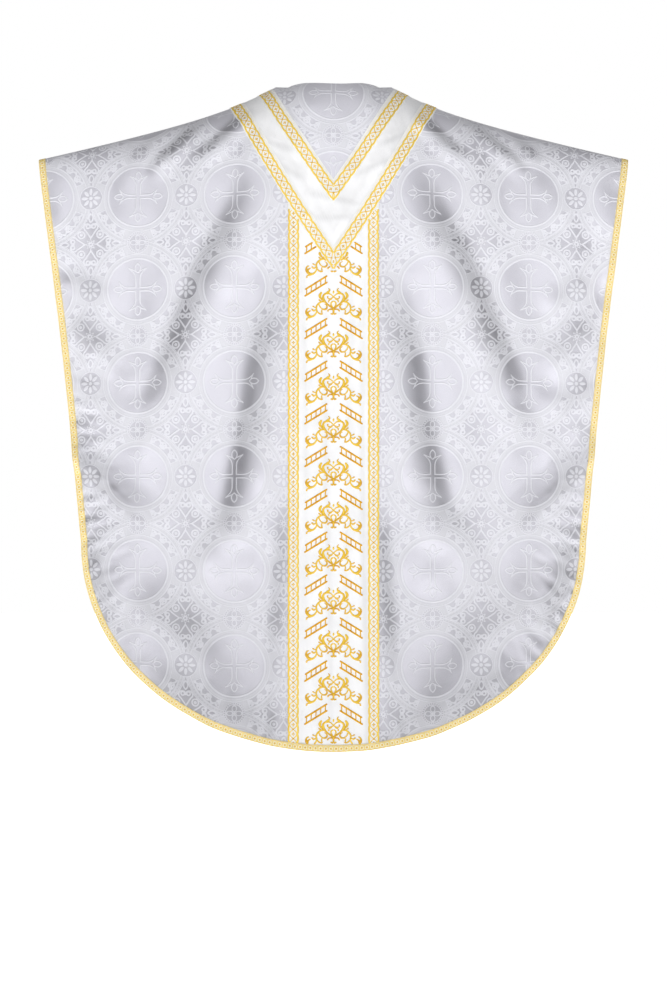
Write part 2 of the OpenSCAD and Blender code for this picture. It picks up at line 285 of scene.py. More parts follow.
def add_edge_puckers(lift, painted_shade, gx, gz, free, face):
    """Short gathers square to the edge, along the lower sides and the hem, with painted shade in their
    troughs.
    """
    beside = np.maximum(side_x(gz) - np.abs(gx), 1.0)
    above = np.maximum(gz - hem_z(gx), 1.0)
    inward = beside * above / np.hypot(beside, above)
    around = np.arctan2(gz + 700, gx) * 520
    pucker = np.sin(2 * math.pi * around / 37 + 1.4 * np.sin(around / 71 + face) + inward / 26)
    pucker += 0.7 * np.sin(2 * math.pi * around / 23 + 2.0 * np.sin(around / 113) - inward / 17)
    gather = smooth(inward / 16) * np.exp(-((inward / 62) ** 2)) * smooth((-gz - 420) / 320) * free
    gather *= 0.55 + 0.45 * np.sin(around / 97 + 2.1 * face)
    lift += 1.7 * gather * pucker
    # painted shade in the troughs of the puckers
    painted_shade += 1.15 * gather * clamp01(0.35 - 0.6 * pucker)


def add_hem_tuck(lift, painted_shade, gx, gz, free):
    """The cloth draws in along a ring above the rounded hem; painted shade darkens it from z = -600
    downwards, most towards the hem.
    """
    tuck = smooth((-gz - 930) / 330)
    lift -= 9 * tuck * smooth(1 - np.abs(np.hypot(gx / 520, (gz + 880) / 400) - 0.8) / 0.5) * free
    painted_shade += 0.5 * tuck * free + 0.26 * smooth((-gz - 600) / 500) * free


def fold_tables(face):
    """Displacement and painted shade on a grid, for one face of the garment."""
    gx, gz = np.meshgrid(X_AXIS, Z_AXIS, indexing="ij")
    below = np.maximum(ridge(gx) - gz, 0)
    lift, painted_shade = np.zeros_like(gx), np.zeros_like(gx)
    add_folds(lift, painted_shade, gx, gz, face)
    add_crumples(lift, gx, gz, face)
    # the stiff column lies calmer than the free cloth beside it
    free = smooth((np.abs(gx) - 60) / 60)
    lift *= smooth(below / 80) * mix(0.42, 1.0, free)
    wide = np.sin(2 * math.pi * gx / 47 + 0.9 * np.sin(gz / 230))
    narrow = np.sin(2 * math.pi * gx / 29 + np.sin(gz / 140 + 2))
    lift += 0.42 * (wide + 0.6 * narrow) * (1 - free) * smooth(below / 140)
    add_column_creases(lift, painted_shade, gx, gz)
    add_yoke_creases(lift, painted_shade, gx, gz)
    add_edge_puckers(lift, painted_shade, gx, gz, free, face)
    add_hem_tuck(lift, painted_shade, gx, gz, free)
    painted_shade = np.clip(painted_shade, 0, 1.2) * smooth(below / 40)
    ridge_shade = 0.4 * np.exp(-((below / 30) ** 2)) * smooth((np.abs(gx) - 120) / 80)
    return lift, painted_shade + ridge_shade


TABLES = {face: fold_tables(face) for face in (BACK, FRONT)}


def lookup(table, x, z):
    """A table's value at x, z, between its four nearest cells."""
    i = np.clip((x - X_AXIS[0]) / CELL, 0, len(X_AXIS) - 1.001)
    j = np.clip((z - Z_AXIS[0]) / CELL, 0, len(Z_AXIS) - 1.001)
    a, b = i.astype(int), j.astype(int)
    u, v = i - a, j - b
    return (
        table[a, b] * (1 - u) * (1 - v)
        + table[a + 1, b] * u * (1 - v)
        + table[a, b + 1] * (1 - u) * v
        + table[a + 1, b + 1] * u * v
    )


def place(x, z, h, face):
    """Points at height h over the draped cloth, in metres."""
    x, z, h = np.broadcast_arrays(*(np.asarray(v, float) for v in (x, z, h)))
    top = ridge(x)
    z = np.minimum(z, top)
    below = top - z
    bend = bend_of(x)
    rise = 1 - np.exp(-below / bend)
    root = np.sqrt(rise)
    reach = hang(x, z, face)
    tilt = np.arctan2(reach * (1 - rise), 2 * bend * root)
    up = h + lookup(TABLES[face][0], x, z)
    return np.stack([x, face * (HALF_GAP + reach * root + up * np.cos(tilt)), z + up * np.sin(tilt)], -1) * MM


# ------------------------------------------------------------------ cloth length
ARC_X = np.linspace(0, 600, 61)
ARC_G = np.linspace(0, math.sqrt(1340), 500)


def arc_table(face):
    """Length along the cloth from the ridge, by x and the square root of the drop."""
    x, g = np.meshgrid(ARC_X, ARC_G, indexing="ij")
    below = g**2
    out = hang(np.minimum(x, 571), ridge(x) - below, face) * np.sqrt(1 - np.exp(-below / bend_of(x)))
    step = np.sqrt(np.diff(out, axis=1) ** 2 + np.diff(below, axis=1) ** 2)
    return np.concatenate([np.zeros((len(ARC_X), 1)), np.cumsum(step, 1)], 1)


ARCS = {face: arc_table(face) for face in (BACK, FRONT)}


def arc_at(x, g, face):
    """That length at x, g, and its slope with g."""
    table = ARCS[face]
    i = np.clip(np.abs(x) / 10.0, 0, len(ARC_X) - 1.001)
    j = np.clip(g / ARC_G[1], 0, len(ARC_G) - 1.001)
    a, b = i.astype(int), j.astype(int)
    u, v = i - a, j - b
    low = table[a, b] * (1 - u) + table[a + 1, b] * u
    high = table[a, b + 1] * (1 - u) + table[a + 1, b + 1] * u
    return low * (1 - v) + high * v, (high - low) / ARC_G[1]


def cloth_t(x, z, face):
    """Height along the cloth, equal to z at z = -600."""
    g = np.sqrt(np.maximum(ridge(x) - z, 0))
    mid = np.sqrt(ridge(x) + 600)
    return -600 + arc_at(x, mid, face)[0] - arc_at(x, g, face)[0]


def cloth_z(x, t, face):
    """The z of a point with that height along the cloth."""
    mid = np.sqrt(ridge(x) + 600)
    want = arc_at(x, mid, face)[0] - 600 - t
    g = np.sqrt(np.maximum(ridge(x) - t, 1.0))
    for _ in range(14):
        s, ds = arc_at(x, g, face)
        g = np.clip(g - (s - want) / np.maximum(ds, 0.5), 0, ARC_G[-1])
    return ridge(x) - g**2


# ------------------------------------------------------------------ meshes
def build(name, co, faces, material, uv, values):
    """A mesh object with cloth coordinates and one number per vertex for each of values."""
    me = bpy.data.meshes.new(name)
    me.from_pydata(np.asarray(co, float), [], faces)
    loops = np.empty(len(me.loops), np.int32)
    me.loops.foreach_get("vertex_index", loops)
    layer = me.uv_layers.new(name="cloth")
    layer.data.foreach_set("uv", np.asarray(uv, np.float32)[loops].ravel())
    for key, data in values.items():
        attribute = me.attributes.new(key, "FLOAT", "POINT")
        attribute.data.foreach_set("value", np.asarray(data, np.float32))
    me.polygons.foreach_set("use_smooth", np.ones(len(me.polygons), bool))
    me.set_sharp_from_angle(angle=math.radians(55))
    me.materials.append(material)
    me.validate()
    me.update()
    piece = bpy.data.objects.new(name, me)
    bpy.context.scene.collection.objects.link(piece)
    return piece


def grid_faces(rows, cols, face):
    """Faces of a closed sheet: its outside, its inside and the rim between them."""
    idx = np.arange(rows * cols).reshape(rows, cols)
    a, b, c, d = idx[:-1, :-1], idx[1:, :-1], idx[1:, 1:], idx[:-1, 1:]
    outer = np.stack([a, b, c, d], -1).reshape(-1, 4)
    n = rows * cols
    loop = np.concatenate([idx[:, 0], idx[-1, 1:], idx[-2::-1, -1], idx[0, -2:0:-1]])
    nxt = np.roll(loop, -1)
    rim = np.stack([nxt, loop, loop + n, nxt + n], -1)
    every = np.concatenate([outer, outer[:, ::-1] + n, rim])
    return (every if face == BACK else every[:, ::-1]).tolist()


def slab(name, x, z, low, high, face, material, uv=None):
    """A closed sheet over the grid x, z between two heights over the cloth."""
    rows, cols = x.shape
    co = np.concatenate([place(x, z, high, face).reshape(-1, 3), place(x, z, low, face).reshape(-1, 3)])
    if uv is None:
        uv = (x * MM, cloth_t(x, z, face) * MM)
    flat = np.stack([uv[0], uv[1]], -1).reshape(-1, 2)
    # painted shade from the fold table, one value per vertex
    painted_shade = lookup(TABLES[face][1], x, z).ravel()
    values = {"painted_shade": np.concatenate([painted_shade, painted_shade])}
    return build(name, co, grid_faces(rows, cols, face), material, np.concatenate([flat, flat]), values)


def finish_piece(piece, face_name, node):
    if face_name == "front":
        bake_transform(piece)
    else:
        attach(piece, "back")
    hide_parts(node)
    return piece


class Threads:
    """Raised threads laid out on a plane (p, q), gathered into one mesh."""

    SECTION = ((-1, 0), (-0.62, 0.72), (0, 1), (0.62, 0.72), (1, 0))

    def __init__(self, mapping, base, face, keep=None):
        self.mapping, self.base, self.face, self.keep = mapping, base, face, keep
        self.plan, self.high, self.tone, self.uv, self.faces = [], [], [], [], []
        self.count = 0

    def add(self, plan, high, tone, uv, faces):
        self.plan.append(plan)
        self.high.append(high)
        self.tone.append(tone)
        self.uv.append(uv)
        self.faces.extend([[v + self.count for v in f] for f in faces])
        self.count += len(plan)

    def line(self, points, widths, height=0.6, tones_and_shades=0.3, step=1.8, closed=False, curve=True):
        """A thread along the points, cut where keep says so."""
        points = np.asarray(points, float)
        length = np.linalg.norm(np.diff(points, axis=0), axis=1).sum()
        count = max(4, int(length / step) + 1)
        line = spline(points, count, closed) if curve else points
        n = len(line)
        share = np.linspace(0, 1, n)
        width = np.interp(share, np.linspace(0, 1, np.size(widths)), np.atleast_1d(widths))
        tone = np.interp(share, np.linspace(0, 1, np.size(tones_and_shades)), np.atleast_1d(tones_and_shades))
        if self.keep is not None:
            x, z = self.mapping(line[:, 0], line[:, 1])
            good = self.keep(x, z, line[:, 0], line[:, 1])
            if not good.all():
                if closed:
                    return
                cuts = np.flatnonzero(np.diff(good.astype(int))) + 1
                for part in np.split(np.arange(n), cuts):
                    if good[part[0]] and len(part) > 1:
                        self._sweep(line[part], width[part], tone[part], height, False)
                return
        self._sweep(line, width, tone, height, closed)

    def _sweep(self, line, width, tone, height, closed):
        """The rounded section carried along a line, with rounded ends unless it is closed."""
        run = run_of(line)
        if closed:
            line, width, tone, run = line[:-1], width[:-1], tone[:-1], run[:-1]
            tangent = np.roll(line, -1, 0) - np.roll(line, 1, 0)
            scale = np.ones(len(line))
        else:
            extra = [0.12 * width[0], 0.4 * width[0], run[-1] - 0.4 * width[-1], run[-1] - 0.12 * width[-1]]
            at = np.unique(np.round([t for t in np.concatenate([run, extra]) if 0 <= t <= run[-1]], 3))
            line = points_at(at, run, line)
            width, tone = np.interp(at, run, width), np.interp(at, run, tone)
            near = np.minimum(at, at[-1] - at)
            scale = np.sqrt(np.maximum(0.03, 1 - (1 - clamp01(near / (0.5 * width))) ** 2))
            tangent = np.gradient(line, axis=0)
            run = at
        tangent = tangent / np.maximum(np.linalg.norm(tangent, axis=1), 1e-6)[:, None]
        normal = np.stack([-tangent[:, 1], tangent[:, 0]], 1)
        plan, high, tones_and_shades, uv = [], [], [], []
        for across, rise in self.SECTION:
            plan.append(line + normal * (0.5 * width * scale * across)[:, None])
            high.append(height * rise * scale)
            # painted shade: each thread deepens in colour towards its two edges, where the rounded section
            # turns down
            tones_and_shades.append(tone + 0.4 * (1 - rise))
            uv.append(np.stack([run * MM, 0.5 * width * across * MM], 1))
        plan = np.stack(plan, 1).reshape(-1, 2)
        high, tones_and_shades = np.stack(high, 1).ravel(), np.stack(tones_and_shades, 1).ravel()
        uv = np.stack(uv, 1).reshape(-1, 2)
        n, m = len(line), len(self.SECTION)
        faces = []
        for i in range(n if closed else n - 1):
            j = (i + 1) % n
            for k in range(m):
                after = (k + 1) % m
                faces.append([i * m + k, i * m + after, j * m + after, j * m + k])
        if not closed:
            faces.append([m - 1 - k for k in range(m)])
            faces.append([(n - 1) * m + k for k in range(m)])
        self.add(plan, high, tones_and_shades, uv, faces)

    def dot(self, centre, long, wide, turn=0.0, height=0.6, tone=0.3, sides=8):
        """A domed oval knot."""
        centre = np.asarray(centre, float)
        if self.keep is not None:
            x, z = self.mapping(centre[:1], centre[1:])
            if not self.keep(x, z, centre[:1], centre[1:])[0]:
                return
        a = np.arange(sides) * 2 * math.pi / sides
        c, s = math.cos(turn), math.sin(turn)
        p, q = long * np.cos(a), wide * np.sin(a)
        oval = np.stack([p * c - q * s, p * s + q * c], 1)
        plan = np.vstack([centre + oval, centre + 0.62 * oval, centre[None]])
        high = np.concatenate([np.zeros(sides), np.full(sides, 0.75 * height), [height]])
        # painted shade: the knot's rim is deeper in colour than its top
        tones_and_shades = np.concatenate([np.full(sides, tone + 0.25), np.full(sides + 1, tone)])
        faces = [list(range(sides))[::-1]]
        for k in range(sides):
            after = (k + 1) % sides
            faces.append([k, after, sides + after, sides + k])
            faces.append([sides + k, sides + after, 2 * sides])
        self.add(plan, high, tones_and_shades, (plan - centre) * MM, faces)

    def piece(self, name, material):
        """All the threads as one mesh, sunk 0.12 mm into the cloth below."""
        plan, high = np.vstack(self.plan), np.concatenate(self.high)
        x, z = self.mapping(plan[:, 0], plan[:, 1])
        co = place(x, z, self.base(x, z) - 0.12 + high, self.face)
        faces = [f[::-1] for f in self.faces] if self.wound_inwards(co, high) else self.faces
        tone = clamp01(np.concatenate(self.tone))
        return build(name, co, faces, material, np.vstack(self.uv), {"tone": tone})

    def wound_inwards(self, co, high):
        """Whether the sloping faces' normals point into the cloth."""
        votes = 0
        for f in self.faces[:400]:
            a, b, c = (co[i] for i in f[:3])
            if np.ptp(high[f]) > 0.05:
                votes += 1 if np.cross(b - a, c - a)[1] * self.face > 0 else -1
        return votes < 0


# ------------------------------------------------------------------ materials
class Value:
    """A shader value that Python operators build on with Math nodes."""

    def __init__(self, graph, socket):
        self.graph, self.socket = graph, socket

    def __add__(self, other):
        return self.graph.math("ADD", self, other)

    def __sub__(self, other):
        return self.graph.math("SUBTRACT", self, other)

    def __mul__(self, other):
        return self.graph.math("MULTIPLY", self, other)

    def __truediv__(self, other):
        return self.graph.math("DIVIDE", self, other)

    def __rsub__(self, other):
        return self.graph.math("SUBTRACT", other, self)

    __radd__, __rmul__ = __add__, __mul__


class Graph:
    """A Principled material and its node tree."""

    def __init__(self, name):
        self.material = bpy.data.materials.new(name)
        self.material.use_nodes = True
        self.nodes = self.material.node_tree.nodes
        self.links = self.material.node_tree.links
        self.shader = self.nodes["Principled BSDF"]

    def feed(self, socket, value):
        if isinstance(value, Value):
            self.links.new(value.socket, socket)
        elif hasattr(value, "is_output"):
            self.links.new(value, socket)
        else:
            socket.default_value = value

    def math(self, op, *values, clamp=False):
        node = self.nodes.new("ShaderNodeMath")
        node.operation, node.use_clamp = op, clamp
        for socket, value in zip(node.inputs, values):
            self.feed(socket, value)
        return Value(self, node.outputs[0])

    def uv(self):
        """Cloth coordinates as a vector in metres, and as two values in millimetres."""
        node = self.nodes.new("ShaderNodeUVMap")
        node.uv_map = "cloth"
        split = self.nodes.new("ShaderNodeSeparateXYZ")
        self.links.new(node.outputs[0], split.inputs[0])
        return node.outputs[0], Value(self, split.outputs[0]) * 1000, Value(self, split.outputs[1]) * 1000

    def attribute(self, name):
        node = self.nodes.new("ShaderNodeAttribute")
        node.attribute_name = name
        return Value(self, node.outputs["Fac"])

    def noise(self, vector, scale, detail=2.0, rough=0.5):
        node = self.nodes.new("ShaderNodeTexNoise")
        self.links.new(vector, node.inputs["Vector"])
        node.inputs["Scale"].default_value = scale
        node.inputs["Detail"].default_value = detail
        node.inputs["Roughness"].default_value = rough
        return Value(self, node.outputs["Fac"])

    def stretch(self, vector, scale):
        node = self.nodes.new("ShaderNodeMapping")
        self.links.new(vector, node.inputs["Vector"])
        node.inputs["Scale"].default_value = scale
        return node.outputs[0]

    def position(self):
        return self.nodes.new("ShaderNodeTexCoord").outputs["Object"]

    def blend(self, share, a, b):
        node = self.nodes.new("ShaderNodeMix")
        node.data_type = "RGBA"
        self.feed(node.inputs[0], share)
        for socket, colour in ((node.inputs[6], a), (node.inputs[7], b)):
            if isinstance(colour, tuple):
                socket.default_value = (*colour, 1)
            else:
                self.links.new(colour, socket)
        return node.outputs[2]

    def dim(self, colour, share):
        """The colour times a shader value."""
        node = self.nodes.new("ShaderNodeVectorMath")
        node.operation = "SCALE"
        self.links.new(colour, node.inputs[0])
        self.feed(node.inputs["Scale"], share)
        return node.outputs[0]

    def bump(self, height, distance, strength=1.0, normal=None):
        node = self.nodes.new("ShaderNodeBump")
        node.inputs["Strength"].default_value = strength
        node.inputs["Distance"].default_value = distance
        self.feed(node.inputs["Height"], height)
        if normal is not None:
            self.links.new(normal, node.inputs["Normal"])
        return node.outputs[0]

    def set(self, **values):
        for key, value in values.items():
            self.feed(self.shader.inputs[key.replace("_", " ")], value)

    def band(self, distance, half, soft=0.5):
        """1 within half of zero distance, falling to 0 over soft."""
        far = self.abs(distance)
        return self.math("DIVIDE", (half + soft) - far, soft, clamp=True)

    def inside(self, distance, soft=0.8):
        """1 where the distance is negative."""
        return self.math("ADD", distance * (-1 / soft), 0.5, clamp=True)

    def low(self, *values):
        found = values[0]
        for v in values[1:]:
            found = self.math("MINIMUM", found, v)
        return found

    def high(self, *values):
        found = values[0]
        for v in values[1:]:
            found = self.math("MAXIMUM", found, v)
        return found

    def abs(self, value):
        return self.math("ABSOLUTE", value)

    def length(self, a, b):
        return self.math("SQRT", a * a + b * b)

    def repeat(self, value, pitch):
        """Distance from the nearest repeat of a pattern."""
        return self.abs(self.math("WRAP", value, pitch / 2, -pitch / 2))


def rgb(r, g, b):
    """A colour from 0-255 screen values."""
    return tuple(((v / 255 + 0.055) / 1.055) ** 2.4 if v > 10 else v / 3294.6 for v in (r, g, b))


# The damask's repeat in millimetres of cloth, and its radii from a medallion's centre.
PITCH_X, PITCH_Z, FIRST_ROW = 186.0, 178.0, -218.0
DISC_R, BAND_R, BAND_HALF, BEAD_R, SPACE_R = 57, 76.4, 8.2, 89.2, 92.8


def beaded(g, angle, radius, ring, per_quarter, size):
    """Distance from the beads along a ring."""
    step = math.pi / 2 / per_quarter
    sideways = (g.math("FRACT", angle / step) - 0.5) * (step * ring)
    return g.length(sideways, radius - ring) - size


def cross_arm(g, along, across, half, flare_from, end, wide, tip):
    """Distance from one arm of the cross, which flares to its end, and from the leaf at its tip."""
    flare = g.math("POWER", g.math("DIVIDE", along - flare_from, end - flare_from, clamp=True), 2.4)
    shaft = g.high(across - flare * wide - half, along - across * 0.42 - (end - 6.0))
    long = (tip - end + 7.5) / 2
    bulge = (long * long + 27.0) / 10.4
    leaf = g.length(across + (bulge - 5.2), along - (tip - long)) - bulge
    return shaft, leaf


def medallion(g, lx, ly, r, angle):
    """Disc, cross and rings: the satin disc, the satin figures and the light lines."""
    shaft_y, leaf_y = cross_arm(g, ly, lx, 4.1, 19.0, 39.0, 12.0, 49.0)
    shaft_x, leaf_x = cross_arm(g, lx, ly, 3.2, 17.0, 36.0, 10.5, 46.0)
    shafts, leaves = g.low(shaft_y, shaft_x), g.low(leaf_y, leaf_x)
    cross = g.high(g.band(g.low(shafts, leaves), 0.75, 0.8), g.band(leaves, 0.45, 0.7))
    disc = g.inside(r - DISC_R)
    lines = g.high(cross, g.band(r - 58.2, 1.1, 0.8), g.band(r - 67.2, 0.5))
    figure = g.inside(g.abs(r - 61.4) - 0.7) * 0.35
    # four scroll panels, one on each diagonal
    arc = g.abs(angle - math.pi / 4) * 76 - 32
    off_band = g.abs(r - BAND_R)
    panel_edge = g.high(off_band - BAND_HALF, arc)
    panel = g.inside(panel_edge)
    phase = angle * 20
    swing = g.math("SINE", phase) * 4.9
    curl = g.length(off_band - 3.4, g.math("SINE", phase * 0.5 + math.pi / 4) * 4.4) - 2.2
    scroll = g.high(g.band(r - BAND_R - swing, 1.9, 0.8), g.band(curl, 0.9, 0.7))
    figure = g.high(figure, panel * (1 - scroll) * 0.6)
    lines = g.high(lines, g.band(panel_edge, 0.6), panel * scroll)
    lines = g.high(lines, g.band(r - 86.2, 0.5), g.band(r - 92.2, 0.6))
    figure = g.high(figure, g.inside(beaded(g, angle, r, BEAD_R, 22, 1.1)) * 0.4)
    return disc, figure, lines


def heart(g, along, across):
    """Distance from the outline of a heart on one side of the middle, with its curl and tip."""
    lobe = g.length(along - 33, across - 6.8) - 6.9
    taper = g.high((across * 20 - (along - 12) * 13.5) * (1 / 24.1), along - 33)
    curl = g.length(along - 35.0, across - 5.6) - 3.4
    tip = g.length(along - 51, across + 5.2) - 9.4
    return g.low(g.abs(g.low(lobe, taper)), g.abs(curl), g.abs(tip))


def hearts_and_rosette(g, px, py):
    """Distance from the lines in the four-cornered space between medallions."""
    rosette = g.length(px, py)
    turn = g.math("ARCTAN2", py, px)
    loop = g.length(px - 18.6, py - 18.6)
    return g.low(
        heart(g, px, py),
        heart(g, py, px),
        g.abs(loop - 6.4),
        loop - 1.6,
        g.abs(rosette - 7.0 - g.math("COSINE", turn * 8) * 2.4),
        rosette - 3.2,
    )


def petals(g, radius, turn, count, middle, long, wide):
    """Distance from a ring of oval petals."""
    cell = g.math("WRAP", turn, math.pi / count, -math.pi / count)
    out = (radius * g.math("COSINE", cell) - middle) * (1 / long)
    return (g.length(out, radius * g.math("SINE", cell) * (1 / wide)) - 1) * wide


def side_boss(g, x, y):
    """The boss between two medallions of a row: its area and its lines."""
    radius, turn = g.length(x, y), g.math("ARCTAN2", y, x)
    lines = g.high(
        g.band(radius - 22.4, 0.8),
        g.inside(petals(g, radius, turn, 8, 12.4, 6.4, 3.1)),
        g.inside(radius - 3.6),
    )
    return g.inside(radius - 23.2), lines


def upper_boss(g, x, y):
    """The boss between two medallions of a column: its area and its lines."""
    radius, turn = g.length(x, y), g.math("ARCTAN2", y, x)
    step = math.pi / 2 / 7
    dash = (g.math("FRACT", turn / step + 7) - 0.5) * (step * 18.6)
    lines = g.high(
        g.band(radius - 20.8, 0.8),
        g.inside(g.high(g.abs(dash) - 1.3, g.abs(radius - 18.7) - 1.2)),
        g.band(radius - 16.3, 0.6),
        g.band(petals(g, radius, turn, 4, 8.6, 5.6, 4.2), 0.7),
        g.inside(radius - 2.2),
    )
    return g.inside(radius - 21.2), lines


def damask_pattern(g, u, v):
    """How satin, how much figure and how much line there is at a point of the cloth."""
    lx, ly = g.repeat(u, PITCH_X), g.repeat(v - FIRST_ROW, PITCH_Z)
    r, angle = g.length(lx, ly), g.math("ARCTAN2", ly, lx)
    disc, figure, lines = medallion(g, lx, ly, r, angle)
    space = g.inside(SPACE_R - r)
    hearts = hearts_and_rosette(g, PITCH_X / 2 - lx, PITCH_Z / 2 - ly)
    figure = g.high(figure * (1 - space), space * 0.9)
    lines = g.high(lines, g.high(g.band(hearts, 1.15, 0.8), g.band(r - 94.4, 0.8)) * space)
    boss_a, lines_a = side_boss(g, lx - PITCH_X / 2, ly)
    boss_b, lines_b = upper_boss(g, lx, ly - PITCH_Z / 2)
    bosses = g.high(boss_a, boss_b)
    clear = 1 - bosses
    figure = g.high(figure * clear, bosses * 0.8)
    lines = g.high(lines * clear, g.high(lines_a * boss_a, lines_b * boss_b))
    unlined = g.math("SUBTRACT", 1, lines * 0.95, clamp=True)
    weft = g.math("SINE", (u + v) * 1.45) * g.math("SINE", (u - v) * 1.45)
    plain = g.math("ADD", weft * 0.5, 0.02, clamp=True) * 0.5
    figure = figure * unlined
    return g.high(disc * unlined, figure, plain * unlined), figure, lines


def damask_material():
    """White damask: matte ground, satin figures and light outlines, from cloth coordinates."""
    g = Graph("white_damask")
    vector, u, v = g.uv()
    satin, figure, lines = damask_pattern(g, u, v)
    painted_shade = g.attribute("painted_shade")
    slow = g.noise(vector, 5.5, 3.0, 0.55)
    streak = g.noise(g.stretch(vector, (420.0, 36.0, 1.0)), 1.0, 2.0, 0.6)
    ground = g.blend(streak, rgb(217, 217, 224), rgb(226, 226, 232))
    gloss = g.blend(slow, rgb(216, 215, 225), rgb(229, 228, 236))
    colour = g.blend(satin, ground, gloss)
    colour = g.blend(figure, colour, g.blend(slow, rgb(207, 206, 215), rgb(215, 214, 222)))
    colour = g.blend(lines, colour, rgb(231, 231, 238))
    # painted shade: the fold table's value darkens the colour, the satin more than the ground
    colour = g.dim(colour, 1 - painted_shade * (satin * 0.19 + 0.23))
    weave = g.math("SINE", (u + v * 0.5) * 7.4) * g.math("SINE", (v - u * 0.35) * 6.1)
    weave = weave * 0.06 + satin * -0.5 + lines * 0.8 + streak * 0.16
    g.set(
        Base_Color=colour,
        Metallic=satin * 0.42,
        Roughness=0.72 - satin * 0.30,
        Normal=g.bump(weave, 0.0005, 0.7),
        Sheen_Weight=0.12,
        Sheen_Roughness=0.4,
        Specular_IOR_Level=0.42,
    )
    return g.material


def satin_material(name, light, dark, rough, painted_shade_strength):
    """Plain satin with fine warp streaks; painted shade darkens it along creases and wrinkles."""
    g = Graph(name)
    vector, u, v = g.uv()
    streak = g.noise(g.stretch(vector, (900.0, 60.0, 1.0)), 1.0, 2.0, 0.6)
    slow = g.noise(g.stretch(vector, (9.0, 4.0, 1.0)), 1.0, 3.0, 0.5)
    painted_shade = g.attribute("painted_shade")
    colour = g.blend(slow * 0.6 + streak * 0.4, light, dark)
    # painted shade from the fold table, scaled per material
    colour = g.dim(colour, 1 - painted_shade * painted_shade_strength)
    wrinkle_and_painted_shade = g.noise(g.stretch(vector, (22.0, 9.0, 1.0)), 1.0, 3.0, 0.5)
    # painted shade: the colour is up to 15 % darker along the wrinkles, where the wrinkle noise is above one
    # half
    colour = g.dim(colour, 1 - g.math("SUBTRACT", wrinkle_and_painted_shade, 0.5, clamp=True) * 0.3)
    height = wrinkle_and_painted_shade * 5.0 + streak * 0.05 + g.math("SINE", (u * 0.8 + v) * 9.0) * 0.015
    g.set(
        Base_Color=colour,
        Metallic=0.0,
        Roughness=rough + streak * 0.08,
        Normal=g.bump(height, 0.0026, 0.6),
        Specular_IOR_Level=0.5,
        Sheen_Weight=0.1,
    )
    return g.material


def tape_material(name, light, dark):
    """Woven braid ground with fine cross ribs, and painted shade in the hollows between them."""
    g = Graph(name)
    vector, u, v = g.uv()
    rib = g.math("SINE", u * 7.5)
    warp = g.math("SINE", v * 9.0)
    fleck = g.noise(g.stretch(vector, (900.0, 900.0, 1.0)), 1.0, 2.0, 0.6)
    colour = g.blend(fleck, light, dark)
    # painted shade: up to 8 % darker in the hollows between the ribs
    colour = g.dim(colour, rib * 0.04 + 0.96)
    g.set(
        Base_Color=colour,
        Roughness=0.62 + fleck * 0.15,
        Metallic=0.0,
        Normal=g.bump(rib * 0.6 + warp * 0.5 + fleck * 0.5, 0.00025, 0.6),
        Sheen_Weight=0.15,
        Sheen_Roughness=0.5,
    )
    return g.material


def thread_material(name, light, deep, metal, rough, pitch=1.15, depth=0.00022):
    """Metallic-look thread: stitches lie across each stroke, and it is deeper where the tone value is high;
    that value holds both the thread's own colour and painted shade.
    """
    g = Graph(name)
    _, u, v = g.uv()
    tone = g.attribute("tone")
    stitch = g.math("SINE", (u + v * 0.35) * (2 * math.pi / pitch))
    glint = g.noise(g.position(), 900.0, 2.0, 0.7)
    # painted shade: the colour is a little deeper in the grooves between stitches
    share = g.math("ADD", tone, glint * 0.5 - 0.25 + stitch * -0.07, clamp=True)
    g.set(
        Base_Color=g.blend(share, light, deep),
        Metallic=metal,
        Roughness=rough + glint * 0.12,
        Normal=g.bump(stitch * 0.5 + glint * 0.3, depth, 0.7),
        Specular_IOR_Level=0.2,
    )
    return g.material


DAMASK = damask_material()
SATIN = satin_material("white_satin_weave", rgb(250, 250, 251), rgb(244, 244, 246), 0.42, 0.3)
LINING = satin_material("ivory_lining", rgb(238, 235, 228), rgb(230, 227, 219), 0.4, 0.25)
TAPE = tape_material("braid_ground", rgb(255, 255, 255), rgb(254, 252, 246))
EDGE = tape_material("edge_braid_ground", rgb(255, 236, 158), rgb(255, 226, 126))
GOLD = thread_material("gold_braid_thread", rgb(255, 224, 96), rgb(208, 152, 34), 0.35, 0.46)
EDGE_GOLD = thread_material("edge_braid_thread", rgb(255, 252, 236), rgb(222, 164, 50), 0.2, 0.5)
CREST = thread_material("crest_thread", rgb(255, 222, 84), rgb(196, 130, 12), 0.5, 0.42)
LADDER = thread_material("ladder_thread", rgb(255, 204, 36), rgb(194, 128, 10), 0.35, 0.44, 1.8, 0.0004)

# ------------------------------------------------------------------ shapes on the cloth
# Heights over the cloth line, inside and outside of each layer.
LINING_H, SHELL_H, ORPHREY_H, TAPE_H = (-1.5, -0.9), (0.0, 0.8), (0.95, 1.35), (1.5, 2.0)
YOKE_H, YOKE_THICK, YOKE_TAPE_THICK = 0.95, 0.4, 0.5
EDGE_H, EDGE_THICK = 0.95, 0.65
COLUMN_ROWS, YOKE_ROWS = 230, 90
FAN_FROM = 113


